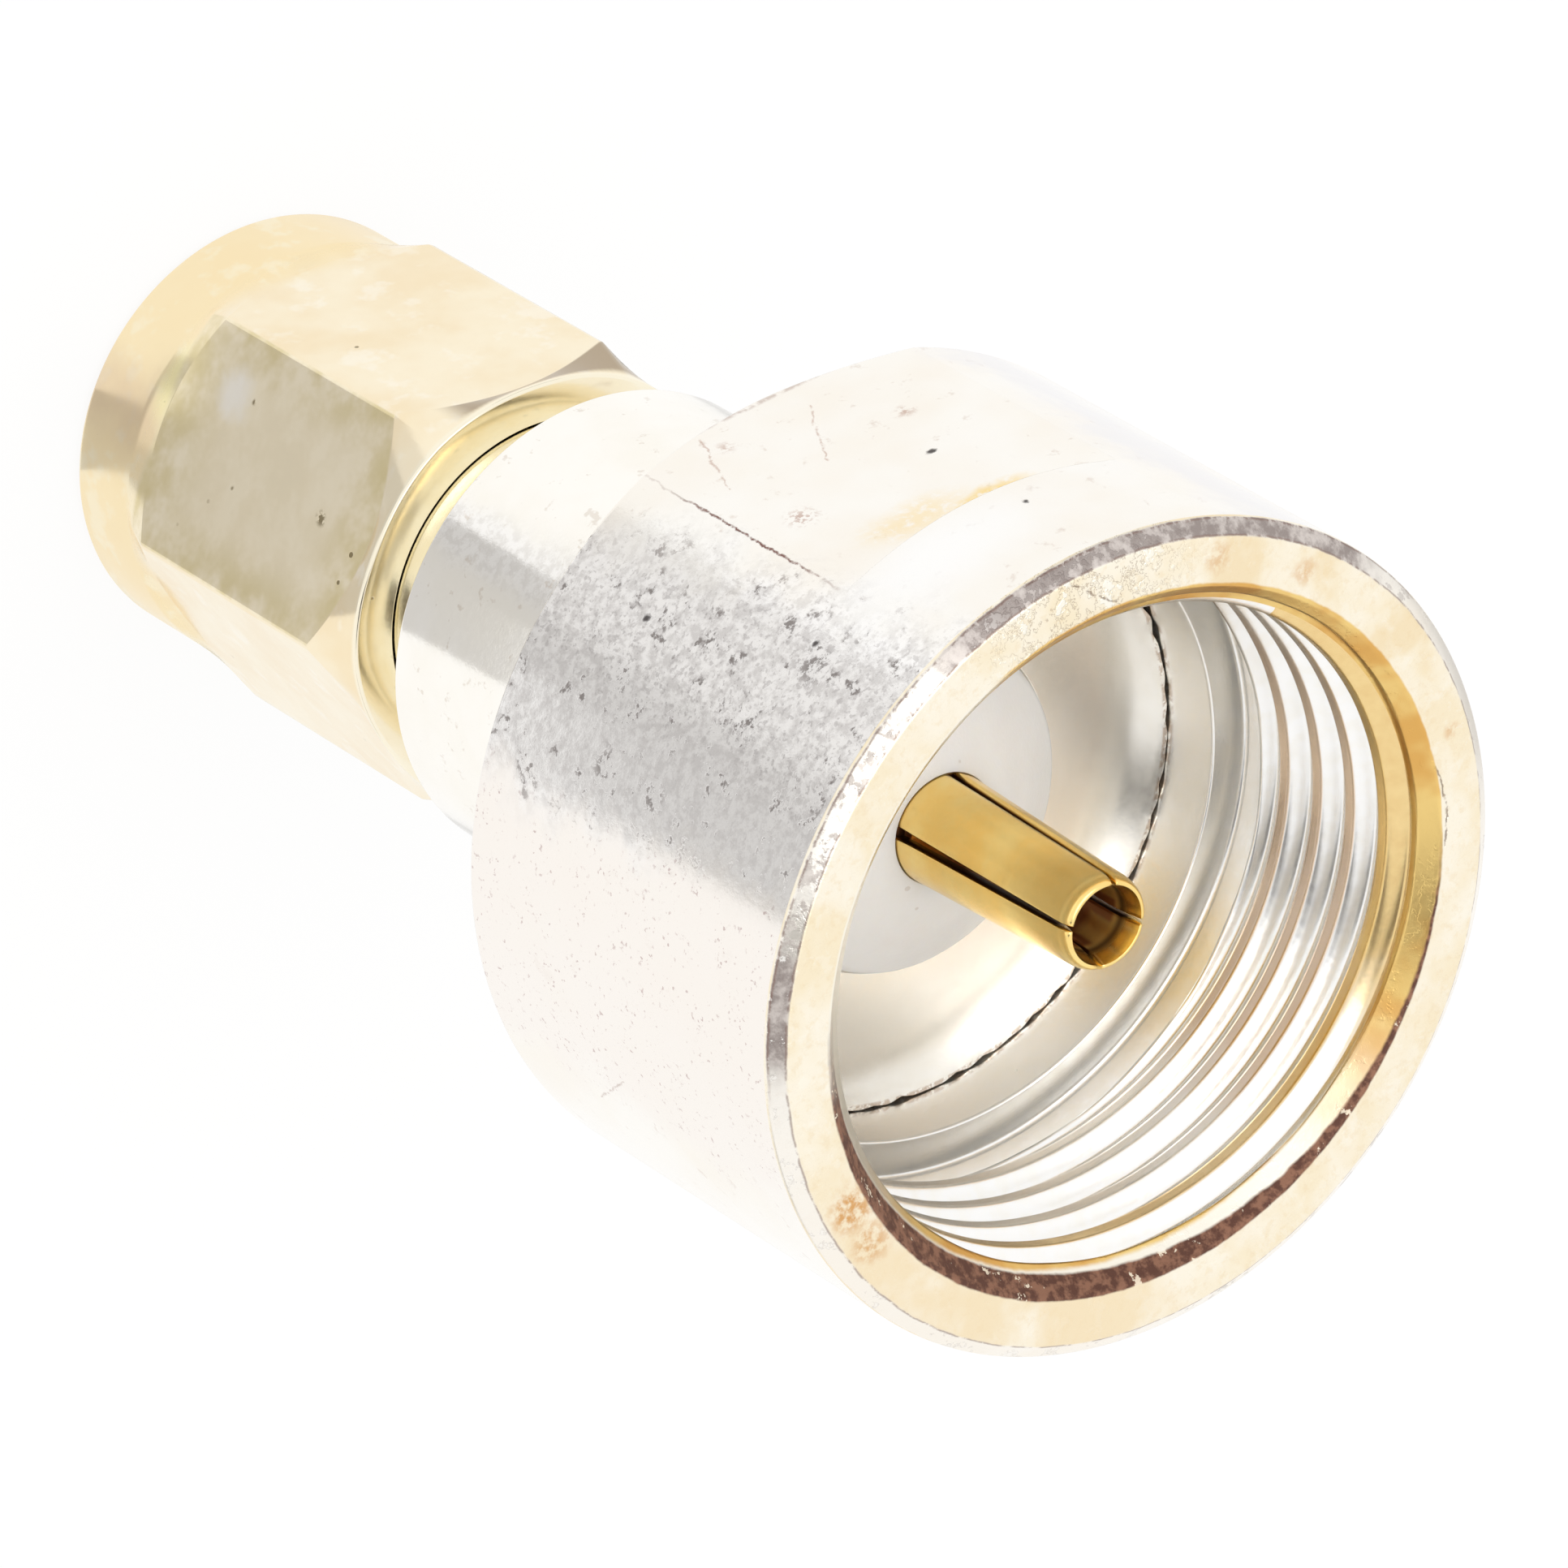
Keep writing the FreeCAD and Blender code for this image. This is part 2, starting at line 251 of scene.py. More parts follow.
def hexagon_radius(angle):
    off = (angle - NUT_TURN + 30) % 60 - 30
    straight = NUT_FLAT / math.cos(math.radians(off))
    return min(straight, NUT_CORNER - NUT_CORNER_BREAK)


def nut_column(angle):
    flat = hexagon_radius(angle)
    share = (flat - NUT_FLAT) / (NUT_CORNER - NUT_FLAT)
    outer = rounded([
        (NUT_MOUTH, 0, 0.06),
        (4.0, 0, 0.08),
        (NUT_COLLAR, 0.2, 0.12),
        (NUT_COLLAR, 1.85, 0.3),
        (flat, 2.2 + 0.7 * share, 0.05),
        (flat, 9.0 - 0.65 * share, 0.05),
        (NUT_RIM, NUT_BACK, 0.07),
        (3.455, NUT_BACK, 0.03),
        (3.42, 9.465, 0.015),
        (NUT_BORE, GROOVE_HIGH, 0.03),
        (NUT_GROOVE, GROOVE_HIGH, 0.03),
        (NUT_GROOVE, GROOVE_LOW, 0.03),
        (NUT_BORE, GROOVE_LOW, 0.03),
        (NUT_BORE, 6.85, 0.05),
        (NUT_RELIEF, 6.85, 0.05),
        (NUT_RELIEF, 5.2, 0),
    ])
    top = 5.1
    bottom = 0.05
    inner = []
    for i in range(NUT_THREAD_ROWS):
        z = top - (top - bottom) * i / (NUT_THREAD_ROWS - 1)
        depth = ridge(z, angle, NUT_PITCH, NUT_THREAD_START, NUT_CREST, NUT_RISE)
        groove = NUT_MINOR + NUT_THREAD_DEPTH * depth
        cone = NUT_MOUTH - z
        relief = NUT_RELIEF if z > NUT_RELIEF_LOW else NUT_RELIEF - (NUT_RELIEF_LOW - z) * RELIEF_SLOPE
        inner.append(Vector((max(groove, cone, relief), z)))
    return outer + inner


nut_edges = [NUT_TURN + 30 + 60 * k + d for k in range(6) for d in (-5.7, -2, -0.8, 0, 0.8, 2)]
nut = skin("nut_turned", even(NUT_STEPS, nut_edges), nut_column)

# Adapter body with the neck and the serrated flange

TEETH = 60
TOOTH_TIP = 5.96
TOOTH_ROOT = 5.90
FLANGE_LOW = 19.4
FLANGE_FACE = 20.6
FACE_EDGE = 5.66            # a ring of points that keeps the face even inside the teeth
NECK = 4.55
NECK_LOW = 10.9
SPIGOT_BORE = 2.92
LINE_BORE = 2.07
FRONT_BORE = 3.22
INSULATOR_LOW = 15.0
rng = random.Random(11)
tooth_tips = [TOOTH_TIP - rng.uniform(0, 0.03) for _ in range(TEETH)]
tooth_roots = [TOOTH_ROOT + rng.uniform(-0.04, 0.04) for _ in range(TEETH)]


def tooth_radius(angle):
    place = (angle % 360) / 360 * TEETH
    nearest = int(place + 0.5)
    tip = tooth_tips[nearest % TEETH]
    root = tooth_roots[int(place) % TEETH]
    t = min(1, max(0, (abs(place - nearest) - 0.06) / 0.44))
    return tip + (root - tip) * t


def body_column(angle):
    tooth = tooth_radius(angle)
    return rounded([
        (SPIGOT_BORE, NECK_LOW, 0.04),
        (NECK - 0.3, NECK_LOW, 0.06),
        (NECK, NECK_LOW + 0.3, 0.10),
        (NECK, FLANGE_LOW, 0.04),
        (tooth, FLANGE_LOW, 0.04),
        (tooth, FLANGE_FACE, 0.03),
        (FACE_EDGE, FLANGE_FACE, 0),
        (FRONT_BORE, FLANGE_FACE, 0.05),
        (FRONT_BORE, INSULATOR_LOW, 0),
        (LINE_BORE, INSULATOR_LOW, 0),
        (LINE_BORE, 13.2, 0),
        (SPIGOT_BORE, 13.2, 0),
    ])


body = skin("body_turned", even(TEETH * 10), body_column)

# Plain turned pieces: ferrule and insulators

FERRULE_LOW = 3.4
FERRULE_TUBE = 2.29
FERRULE_COLLAR = 3.40
SPIGOT = 2.90
RING_SEAT = 2.95
SLEEVE = 2.05
SLEEVE_BORE = 0.655
STOP_LOW = 14.2             # the contact's stop collar
DISC = 3.20
DISC_BORE = 1.068


def plain(name, corners):
    outline = rounded(corners, ARC_POINTS + 1)
    return skin(name, even(144), lambda angle: outline)


ferrule = plain("ferrule_turned", [
    (LINE_BORE, FERRULE_LOW, 0.03),
    (2.21, FERRULE_LOW, 0.03),
    (FERRULE_TUBE, 3.48, 0.03),
    (FERRULE_TUBE, 6.9, 0.05),
    (FERRULE_COLLAR, 6.9, 0.05),
    (FERRULE_COLLAR, GROOVE_LOW, 0.04),
    (RING_SEAT, GROOVE_LOW, 0.03),
    (RING_SEAT, GROOVE_HIGH, 0.03),
    (FERRULE_COLLAR, GROOVE_HIGH, 0.04),
    (FERRULE_COLLAR, NECK_LOW, 0.02),
    (SPIGOT, NECK_LOW, 0.02),
    (SPIGOT, 13.1, 0.05),
    (LINE_BORE, 13.1, 0.02),
])
rear_insulator = plain("ptfe_turned", [
    (SLEEVE_BORE, FERRULE_LOW, 0.03),
    (SLEEVE, FERRULE_LOW, 0.05),
    (SLEEVE, INSULATOR_LOW, 0.02),
    (1.28, INSULATOR_LOW, 0.02),
    (1.28, STOP_LOW, 0.02),
    (SLEEVE_BORE, STOP_LOW, 0.02),
])
front_insulator = plain("insulator_turned", [
    (DISC_BORE, INSULATOR_LOW, 0.02),
    (DISC, INSULATOR_LOW, 0.05),
    (DISC, 20.85, 0.30),
    (2.20, 21.40, 3.0),
    (DISC_BORE, 21.85, 0.02),
])

# Centre contact, with four sprung fingers

PIN = 0.46
ROD = 0.635
STOP = 1.26
FINGER_LOW = 21.7
FINGER_BEND = 26.3
FINGER_TOP = 26.65
FINGER_ROWS = 24
TIP_ROWS = 10
FINGER_STEPS = 16
ROOT = 1.06
SOCKET = 0.92
TIP = 0.79
TIP_LAND = 0.03
BORE = 0.6
BORE_LOW = 20.65
LEAD_IN = 0.75
SLOT_TURN = -19.8
SLOT_HALF = 0.115
SLOT_PINCH = 0.065
SLOT_BREAK = 0.025


def finger_outside(z):
    if z < FINGER_BEND:
        return ROOT + (SOCKET - ROOT) * (z - FINGER_LOW) / (FINGER_BEND - FINGER_LOW)
    share = min(1, (z - FINGER_BEND) / (FINGER_TOP - FINGER_BEND))
    return TIP + (SOCKET - TIP) * math.sqrt(1 - share * share)


def finger_inside(z):
    share = max(0, (z - FINGER_TOP + LEAD_IN) / LEAD_IN)
    return BORE + (TIP - TIP_LAND - BORE) * share ** 1.6


def arc(radius, low, high):
    return [(radius, low + (high - low) * k / FINGER_STEPS) for k in range(FINGER_STEPS + 1)]


def finger_section(z, start):
    """The (radius, turn) outline of one finger, between two slots with broken edges."""
    end = start + math.pi / 2
    outer = finger_outside(z)
    inner = finger_inside(z)
    half = SLOT_HALF - SLOT_PINCH * (z - FINGER_LOW) / (FINGER_TOP - FINGER_LOW)
    nick = min(SLOT_BREAK, 0.4 * (outer - inner))
    broken = math.asin((half + nick) / outer)
    side = math.asin(half / (outer - nick))
    within = math.asin(half / inner)
    section = arc(outer, start + broken, end - broken)
    section.append((outer - nick, end - side))
    section += arc(inner, end - within, start + within)
    section.append((outer - nick, start + side))
    return section


def contact_mesh():
    bm = bmesh.new()
    outline = rounded([
        (0, 1.0, 0),
        (0.2, 1.0, 0.05),
        (PIN, 1.45, 0.10),
        (PIN, FERRULE_LOW, 0.02),
        (ROD, FERRULE_LOW, 0.03),
        (ROD, STOP_LOW, 0.02),
        (STOP, STOP_LOW, 0.03),
        (STOP, INSULATOR_LOW, 0.03),
        (ROOT, INSULATOR_LOW, 0.02),
        (ROOT, FINGER_LOW, 0),
        (BORE, FINGER_LOW, 0),
        (BORE, BORE_LOW, 0.05),
        (0, BORE_LOW, 0),
    ], ARC_POINTS + 1)
    count = 96
    grid = [
        [bm.verts.new(metres(p[0], 2 * math.pi * i / count, p[1])) for p in outline]
        for i in range(count)
    ]
    for i in range(count):
        near, far = grid[i], grid[(i + 1) % count]
        for k in range(len(outline) - 1):
            bm.faces.new((near[k], far[k], far[k + 1], near[k + 1]))
    heights = [FINGER_LOW + (FINGER_BEND - FINGER_LOW) * k / FINGER_ROWS for k in range(FINGER_ROWS)]
    heights += [
        FINGER_BEND + (FINGER_TOP - FINGER_BEND) * math.sin(math.radians(90 * k / TIP_ROWS))
        for k in range(TIP_ROWS + 1)
    ]
    for quarter in range(4):
        start = math.radians(SLOT_TURN + 90 * quarter)
        loops = [[bm.verts.new(metres(r, a, z)) for r, a in finger_section(z, start)] for z in heights]
        size = len(loops[0])
        for lower, upper in zip(loops, loops[1:]):
            for k in range(size):
                ahead = (k + 1) % size
                bm.faces.new((lower[k], lower[ahead], upper[ahead], upper[k]))
        bm.faces.new(loops[0])
        bm.faces.new(loops[-1])
    return mesh_object("contact_turned", bm)


contact = contact_mesh()

# Ring and gasket keep their CAD solids, with softened edges

for name in ("retaining_ring", "sma_gasket"):
    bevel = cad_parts[name].modifiers.new("edge", "BEVEL")
    bevel.width = 0.04 * MM
    bevel.segments = 2
    bevel.limit_method = "ANGLE"
    bevel.angle_limit = math.radians(50)


# Materials

UPPER_RIGHT = -40.0         # azimuth of the rim's upper right in the photograph
FLAT_END = 9.0              # the rear end of a flat of the nut, at its middle
FLAT_END_CURVE = 0.00072    # how fast that end drops off, over the square of the degrees
OUTSIDE = 7.9               # radius of the marks on the shell


class Graph:
    """Short names for the nodes of one material. Places are in millimetres, angles in degrees.

    A mask is a number from 0 to 1 that says where a mark is.
    """

    def __init__(self, name):
        self.mat = bpy.data.materials.new(name)
        self.mat.use_nodes = True
        self.tree = self.mat.node_tree
        self.shader = self.tree.nodes["Principled BSDF"]
        place = self.tree.nodes.new("ShaderNodeTexCoord")
        self.place = self.vector("MULTIPLY", place.outputs["Object"], (1 / MM, 1 / MM, 1 / MM))
        split = self.node("ShaderNodeSeparateXYZ")
        self.link(self.place, split.inputs[0])
        self.x, self.y, self.z = split.outputs
        square = self.math("ADD", self.square(self.x), self.square(self.y))
        self.radius = self.math("SQRT", square)
        self.angle = self.math("MULTIPLY", self.math("ARCTAN2", self.y, self.x), 180 / math.pi)

    def link(self, value, socket):
        if isinstance(value, bpy.types.NodeSocket):
            self.tree.links.new(value, socket)
        else:
            socket.default_value = value

    def node(self, kind, **options):
        node = self.tree.nodes.new(kind)
        for key, value in options.items():
            setattr(node, key, value)
        return node

    def math(self, operation, a, b=0.0, c=0.0, clamp=False):
        node = self.node("ShaderNodeMath", operation=operation, use_clamp=clamp)
        for value, socket in zip((a, b, c), node.inputs):
            self.link(value, socket)
        return node.outputs[0]

    def square(self, value):
        return self.math("MULTIPLY", value, value)

    def line(self, value, gain, base):
        return self.math("MULTIPLY_ADD", value, gain, base)

    def times(self, *masks):
        out = masks[0]
        for mask in masks[1:]:
            out = self.math("MULTIPLY", out, mask)
        return out

    def most(self, *masks):
        out = masks[0]
        for mask in masks[1:]:
            out = self.math("MAXIMUM", out, mask)
        return out

    def vector(self, operation, a, b=(0, 0, 0)):
        node = self.node("ShaderNodeVectorMath", operation=operation)
        self.link(a, node.inputs[0])
        self.link(b, node.inputs[1])
        plain_number = operation in ("DOT_PRODUCT", "LENGTH", "DISTANCE")
        return node.outputs["Value" if plain_number else "Vector"]

    def scaled(self, vector, number):
        node = self.node("ShaderNodeVectorMath", operation="SCALE")
        self.link(vector, node.inputs[0])
        self.link(number, node.inputs["Scale"])
        return node.outputs["Vector"]

    def noise(self, scale, detail, roughness, offset=0.0, output="Fac"):
        node = self.node("ShaderNodeTexNoise")
        place = self.place
        if offset:
            place = self.vector("ADD", place, (offset, offset * 0.7, offset * 1.3))
        self.link(place, node.inputs["Vector"])
        node.inputs["Scale"].default_value = scale
        node.inputs["Detail"].default_value = detail
        node.inputs["Roughness"].default_value = roughness
        return node.outputs[output]

    def warped(self, amount, scale):
        """The place, pushed about by noise so that marks get ragged edges."""
        push = self.vector("SUBTRACT", self.noise(scale, 3, 0.6, output="Color"), (0.5, 0.5, 0.5))
        return self.vector("ADD", self.place, self.scaled(push, 2 * amount))

    def ramp(self, value, low, high):
        """0 at low and 1 at high, which may lie either way round."""
        node = self.node("ShaderNodeMapRange", interpolation_type="SMOOTHSTEP")
        self.link(value, node.inputs["Value"])
        node.inputs["From Min"].default_value = low
        node.inputs["From Max"].default_value = high
        return node.outputs["Result"]

    def band(self, value, low, high, soft):
        """1 between low and high."""
        above = self.ramp(value, low - soft, low + soft)
        below = self.ramp(value, high + soft, high - soft)
        return self.times(above, below)

    def clockwise(self, turn):
        """Degrees round the rim as the camera sees it, from its upper right."""
        return self.math("WRAP", self.math("SUBTRACT", UPPER_RIGHT, turn), 360.0, 0.0)

    def wander(self, value, amount, scale, offset=0.0):
        """A number with noise added to it."""
        push = self.math("SUBTRACT", self.noise(scale, 3, 0.6, offset), 0.5)
        return self.line(push, 2 * amount, value)

    def spot(self, place, centre, size, soft, squash=(1, 1, 1)):
        """1 inside a mark round a centre of (radius, angle, height)."""
        off = self.vector("SUBTRACT", place, polar(*centre))
        if squash != (1, 1, 1):
            off = self.vector("MULTIPLY", off, squash)
        return self.ramp(self.vector("LENGTH", off), size * (1 + soft), size * (1 - soft))

    def crack(self, place, points, width, soft):
        """1 along a line through points of (radius, angle, height)."""
        ends = [Vector(polar(*point)) for point in points]
        nearest = None
        for start, end in zip(ends, ends[1:]):
            run = end - start
            off = self.vector("SUBTRACT", place, tuple(start))
            along = self.vector("DOT_PRODUCT", off, tuple(run))
            share = self.math("MULTIPLY", along, 1 / run.length_squared, clamp=True)
            foot = self.scaled(tuple(run), share)
            away = self.vector("DISTANCE", off, foot)
            nearest = away if nearest is None else self.math("MINIMUM", nearest, away)
        return self.ramp(nearest, width * (1 + soft), width * (1 - soft))

    def pits(self, scale, size, share):
        """1 inside small round pits, in a share of the cells of a cell pattern."""
        node = self.node("ShaderNodeTexVoronoi")
        self.link(self.place, node.inputs["Vector"])
        node.inputs["Scale"].default_value = scale
        split = self.node("ShaderNodeSeparateColor")
        self.link(node.outputs["Color"], split.inputs[0])
        kept = self.math("LESS_THAN", split.outputs[0], share)
        wide = self.line(split.outputs[1], 0.6 * size, 0.5 * size)
        inside = self.math("SUBTRACT", wide, node.outputs["Distance"])
        return self.times(self.ramp(inside, 0.0, 0.25 * size), kept)

    def mix(self, share, a, b):
        node = self.node("ShaderNodeMix", data_type="RGBA")
        self.link(share, node.inputs[0])
        self.link(a, node.inputs[6])
        self.link(b, node.inputs[7])
        return node.outputs[2]

    def blend(self, share, a, b):
        node = self.node("ShaderNodeMix", data_type="FLOAT")
        self.link(share, node.inputs[0])
        self.link(a, node.inputs[2])
        self.link(b, node.inputs[3])
        return node.outputs[0]

    def bump(self, height, distance):
        node = self.node("ShaderNodeBump")
        node.inputs["Strength"].default_value = 1.0
        node.inputs["Distance"].default_value = distance * MM
        self.link(height, node.inputs["Height"])
        return node.outputs["Normal"]

    def finish(self, color, roughness, metallic, normal):
        self.link(color, self.shader.inputs["Base Color"])
        self.link(roughness, self.shader.inputs["Roughness"])
        self.link(metallic, self.shader.inputs["Metallic"])
        self.link(normal, self.shader.inputs["Normal"])
        return self.mat


def rgb(r, g, b):
    """A linear colour from the 0 to 255 numbers of a display, none of them under 11."""
    return tuple(((c / 255 + 0.055) / 1.055) ** 2.4 for c in (r, g, b)) + (1,)


def shell_outside():
    """Nickel plate of the shell: a speckled and pitted band, and marks on the wrench flats."""
    g = Graph("nickel_worn")
    cloud = g.noise(0.35, 3, 0.55)
    fine = g.noise(4.5, 3, 0.65)
    grit = g.noise(9.0, 2, 0.6, offset=7.0)
    clump = g.noise(1.9, 3, 0.65, offset=19.0)
    ragged = g.warped(0.11, 3.0)
    soft_place = g.warped(0.30, 1.2)
    turn = g.wander(g.angle, 9, 0.9)
    color = g.mix(g.ramp(cloud, 0.35, 0.7), rgb(252, 249, 243), rgb(250, 244, 234))
    smudge = g.times(g.ramp(clump, 0.60, 0.70), g.ramp(fine, 0.45, 0.62))
    color = g.mix(g.times(smudge, 0.45), color, rgb(214, 196, 182))

    # Painted shade in lilac grey just past one edge of the flat, and pink below the dark band
    color = g.mix(g.times(g.band(turn, -40, -27, 5), 0.8), color, rgb(238, 236, 238))
    pink = g.band(turn, 61, 104, 5)
    color = g.mix(g.times(pink, 0.8), color, rgb(249, 243, 237))
    purple = g.times(pink, g.ramp(grit, 0.60, 0.70), g.ramp(clump, 0.42, 0.60))
    color = g.mix(g.times(purple, 0.7), color, rgb(186, 160, 158))

    # Speckled band, smoother along its darker lower half
    along = g.math("SUBTRACT", g.z, 18.9)
    upper_edge = g.line(along, 1.27, turn)
    lower_edge = g.line(along, 0.6, turn)
    speckled = g.times(g.ramp(upper_edge, 24, 38), g.ramp(lower_edge, 70, 61))
    smooth_half = g.ramp(turn, 45, 53)
    speckle = g.mix(g.ramp(fine, 0.38, 0.64), rgb(254, 252, 250), rgb(224, 221, 219))
    speckle = g.mix(g.times(g.ramp(grit, 0.54, 0.66), 0.6), speckle, rgb(192, 188, 187))
    calm = g.mix(g.ramp(fine, 0.35, 0.65), rgb(246, 244, 242), rgb(226, 223, 221))
    speckle = g.mix(g.times(smooth_half, 0.75), speckle, calm)
    color = g.mix(g.times(speckled, 0.95), color, speckle)
    clusters = g.most(
        g.ramp(clump, 0.54, 0.64),
        g.spot(ragged, (OUTSIDE, 57, 21.7), 0.30, 0.8),
        g.spot(ragged, (OUTSIDE, 57.5, 23.1), 0.26, 0.8),
        g.spot(ragged, (OUTSIDE, 32.5, 25.1), 0.34, 0.8))
    dirt = g.times(speckled, clusters, g.ramp(fine, 0.50, 0.60))
    color = g.mix(g.times(dirt, 0.75), color, rgb(118, 108, 104))

    # Marks on the wrench flat
    stain = g.most(
        g.spot(soft_place, (7.35, -6, 23.75), 0.50, 0.7, (1, 0.75, 1.7)),
        g.times(g.spot(soft_place, (7.35, 5, 23.4), 0.70, 0.8, (1, 0.8, 1.6)), 0.5))
    color = g.mix(g.times(stain, g.ramp(fine, 0.25, 0.55)), color, rgb(249, 219, 146))
    haze = g.spot(soft_place, (7.7, 11, 25.3), 1.3, 0.8, (1, 0.7, 1.3))
    color = g.mix(g.times(haze, 0.8), color, rgb(254, 254, 254))
    long_crack = [(7.33, -3.7, 18.7), (7.32, 0, 19.6), (7.33, 3.9, 20.6)]
    short_crack = [(7.49, 12.3, 18.2), (7.66, 17.4, 20.1)]
    brown = g.most(
        g.times(g.spot(ragged, (7.46, -11.4, 20.2), 0.15, 0.9), g.ramp(fine, 0.42, 0.56), 0.7),
        g.times(g.spot(ragged, (7.46, 11.2, 18.8), 0.15, 0.9), g.ramp(fine, 0.42, 0.56), 0.6),
        g.times(g.spot(ragged, (7.57, 15.1, 21.8), 0.24, 0.9), g.ramp(grit, 0.48, 0.58), 0.7),
        g.times(g.crack(ragged, long_crack, 0.02, 0.9), 0.6),
        g.times(g.crack(ragged, short_crack, 0.02, 0.9), 0.6))
    color = g.mix(g.times(brown, 0.75), color, rgb(172, 118, 92))
    fade_front = g.ramp(g.wander(g.z, 0.5, 1.5), 24.2, 22.8)
    fade_back = g.ramp(g.wander(g.z, 0.5, 1.5, 4.0), 19.0, 20.6)
    edge_share = g.line(g.times(fade_front, fade_back), 0.7, 0.25)
    edge_line = g.crack(ragged, [(OUTSIDE, 22.3, 24.4), (OUTSIDE, 22.3, 18.5)], 0.022, 0.8)
    edge_line = g.times(edge_line, edge_share, g.ramp(fine, 0.28, 0.46))
    color = g.mix(edge_line, color, rgb(122, 70, 60))
    scratch = g.crack(ragged, [(OUTSIDE, 100, 22.5), (OUTSIDE, 107, 21.3)], 0.022, 0.9)
    color = g.mix(g.times(scratch, 0.6), color, rgb(176, 150, 140))
    black = g.most(
        g.spot(ragged, (7.37, -7.3, 21.7), 0.09, 0.5, (1, 1.0, 1.6)),
        g.spot(ragged, (OUTSIDE, -3.3, 25.2), 0.06, 0.6),
        g.spot(ragged, (OUTSIDE, 30, 24.8), 0.07, 0.6),
        g.spot(ragged, (OUTSIDE, 38, 20.9), 0.07, 0.6))
    color = g.mix(g.times(black, 0.9), color, rgb(60, 52, 52))
    back_line = g.times(g.band(g.wander(g.z, 0.06, 2.0), 17.9, 18.0, 0.05), g.ramp(fine, 0.35, 0.6))
    color = g.mix(g.times(back_line, 0.5), color, rgb(170, 140, 128))

    rough = g.line(fine, 0.10, 0.10)
    rough = g.blend(g.times(speckled, 0.8), rough, g.line(fine, 0.16, 0.16))
    rough = g.blend(g.most(black, brown, dirt), rough, 0.55)
    grain = g.times(fine, g.line(speckled, 0.3, 0.12))
    height = g.math("SUBTRACT", grain, g.most(black, edge_line, dirt))
    return g.finish(color, rough, 1.0, g.bump(height, 0.015))


def shell_rim():
    """The shell's rim: a cream face, blackened on the outer chamfer, orange and brown on the inner."""
    g = Graph("nickel_rim")
    cloud = g.noise(0.6, 3, 0.6, offset=3.0)
    fine = g.noise(4.5, 3, 0.65)
    flake = g.noise(2.2, 4, 0.7, offset=41.0)
    ragged = g.warped(0.10, 3.0)
    turn = g.wander(g.angle, 6, 0.9)
    edge = g.wander(g.radius, 0.035, 2.0, 2.0)

    # Face
    color = g.mix(g.ramp(cloud, 0.35, 0.65), rgb(254, 246, 228), rgb(250, 236, 206))
    color = g.mix(g.times(g.ramp(fine, 0.50, 0.68), 0.3), color, rgb(240, 218, 178))
    upper = g.band(g.angle, -14, 16, 8)
    wrinkle = g.ramp(g.math("ABSOLUTE", g.math("SUBTRACT", flake, 0.5)), 0.014, 0.004)
    wrinkle = g.times(wrinkle, g.line(upper, 0.6, 0.06))
    color = g.mix(g.times(wrinkle, 0.6), color, rgb(150, 118, 92))
    flaked = g.times(g.ramp(flake, 0.56, 0.60), g.line(upper, 0.6, 0.2))
    color = g.mix(flaked, color, rgb(255, 252, 242))
    tan = g.times(g.ramp(cloud, 0.52, 0.64), g.band(g.angle, -70, -8, 12))
    color = g.mix(g.times(tan, 0.35), color, rgb(240, 212, 162))
    lower_side = g.times(g.band(g.angle, 110, 176, 14), g.ramp(cloud, 0.30, 0.60))
    color = g.mix(g.times(lower_side, 0.6), color, rgb(245, 224, 186))
    rust = g.most(
        g.spot(ragged, (7.05, 109, SHELL_RIM), 0.40, 0.6),
        g.times(g.spot(ragged, (7.1, 116, SHELL_RIM), 0.34, 0.7), 0.8),
        g.times(g.spot(ragged, (7.16, -38.5, SHELL_RIM), 0.20, 0.8), 0.5),
        g.times(g.spot(ragged, (7.2, -22, SHELL_RIM), 0.24, 0.8), 0.5),
        g.times(g.spot(ragged, (7.25, -81, SHELL_RIM), 0.13, 0.8), 0.5))
    color = g.mix(g.times(rust, g.ramp(fine, 0.36, 0.60), 0.9), color, rgb(218, 160, 92))
    near_split = [(7.55, 3, SHELL_RIM), (7.3, 1, SHELL_RIM), (6.8, -4, SHELL_RIM)]
    far_split = [(6.72, -84, SHELL_RIM), (6.86, -92, SHELL_RIM), (6.8, -99, SHELL_RIM)]
    splits = g.most(g.crack(ragged, near_split, 0.016, 0.9), g.crack(ragged, far_split, 0.018, 0.9))
    color = g.mix(g.times(splits, 0.7), color, rgb(120, 88, 68))

    # Chamfer outside
    chamfer = g.times(g.ramp(edge, 7.58, 7.63), g.ramp(g.wander(g.z, 0.04, 2.5, 5.0), 27.34, 27.38))
    blackened = g.most(
        g.band(turn, -50, 24, 4),
        g.times(g.band(turn, 28, 68, 4), g.ramp(fine, 0.46, 0.58), 0.7),
        g.band(turn, 67, 82, 3),
        g.times(g.ramp(flake, 0.58, 0.62), 0.4))
    soot = g.mix(g.ramp(flake, 0.34, 0.60), rgb(208, 199, 193), rgb(152, 141, 136))
    bright = g.times(g.ramp(flake, 0.60, 0.63), g.ramp(g.angle, 8, 30))
    soot = g.mix(g.times(bright, 0.9), soot, rgb(252, 249, 244))
    dirt = g.times(chamfer, blackened)
    color = g.mix(g.times(chamfer, 0.8), color, rgb(252, 248, 242))
    color = g.mix(dirt, color, soot)
    inner_edge = g.times(g.band(edge, 7.60, 7.63, 0.015), g.ramp(g.z, 27.4, 27.5))
    inner_edge = g.times(inner_edge, g.ramp(flake, 0.40, 0.52))
    outer_edge = g.band(g.wander(g.z, 0.03, 2.5, 5.0), 27.37, 27.40, 0.015)
    outer_edge = g.times(outer_edge, g.band(turn, -60, 84, 5), g.ramp(flake, 0.42, 0.50))
    color = g.mix(g.times(g.most(inner_edge, outer_edge), 0.6), color, rgb(126, 94, 82))

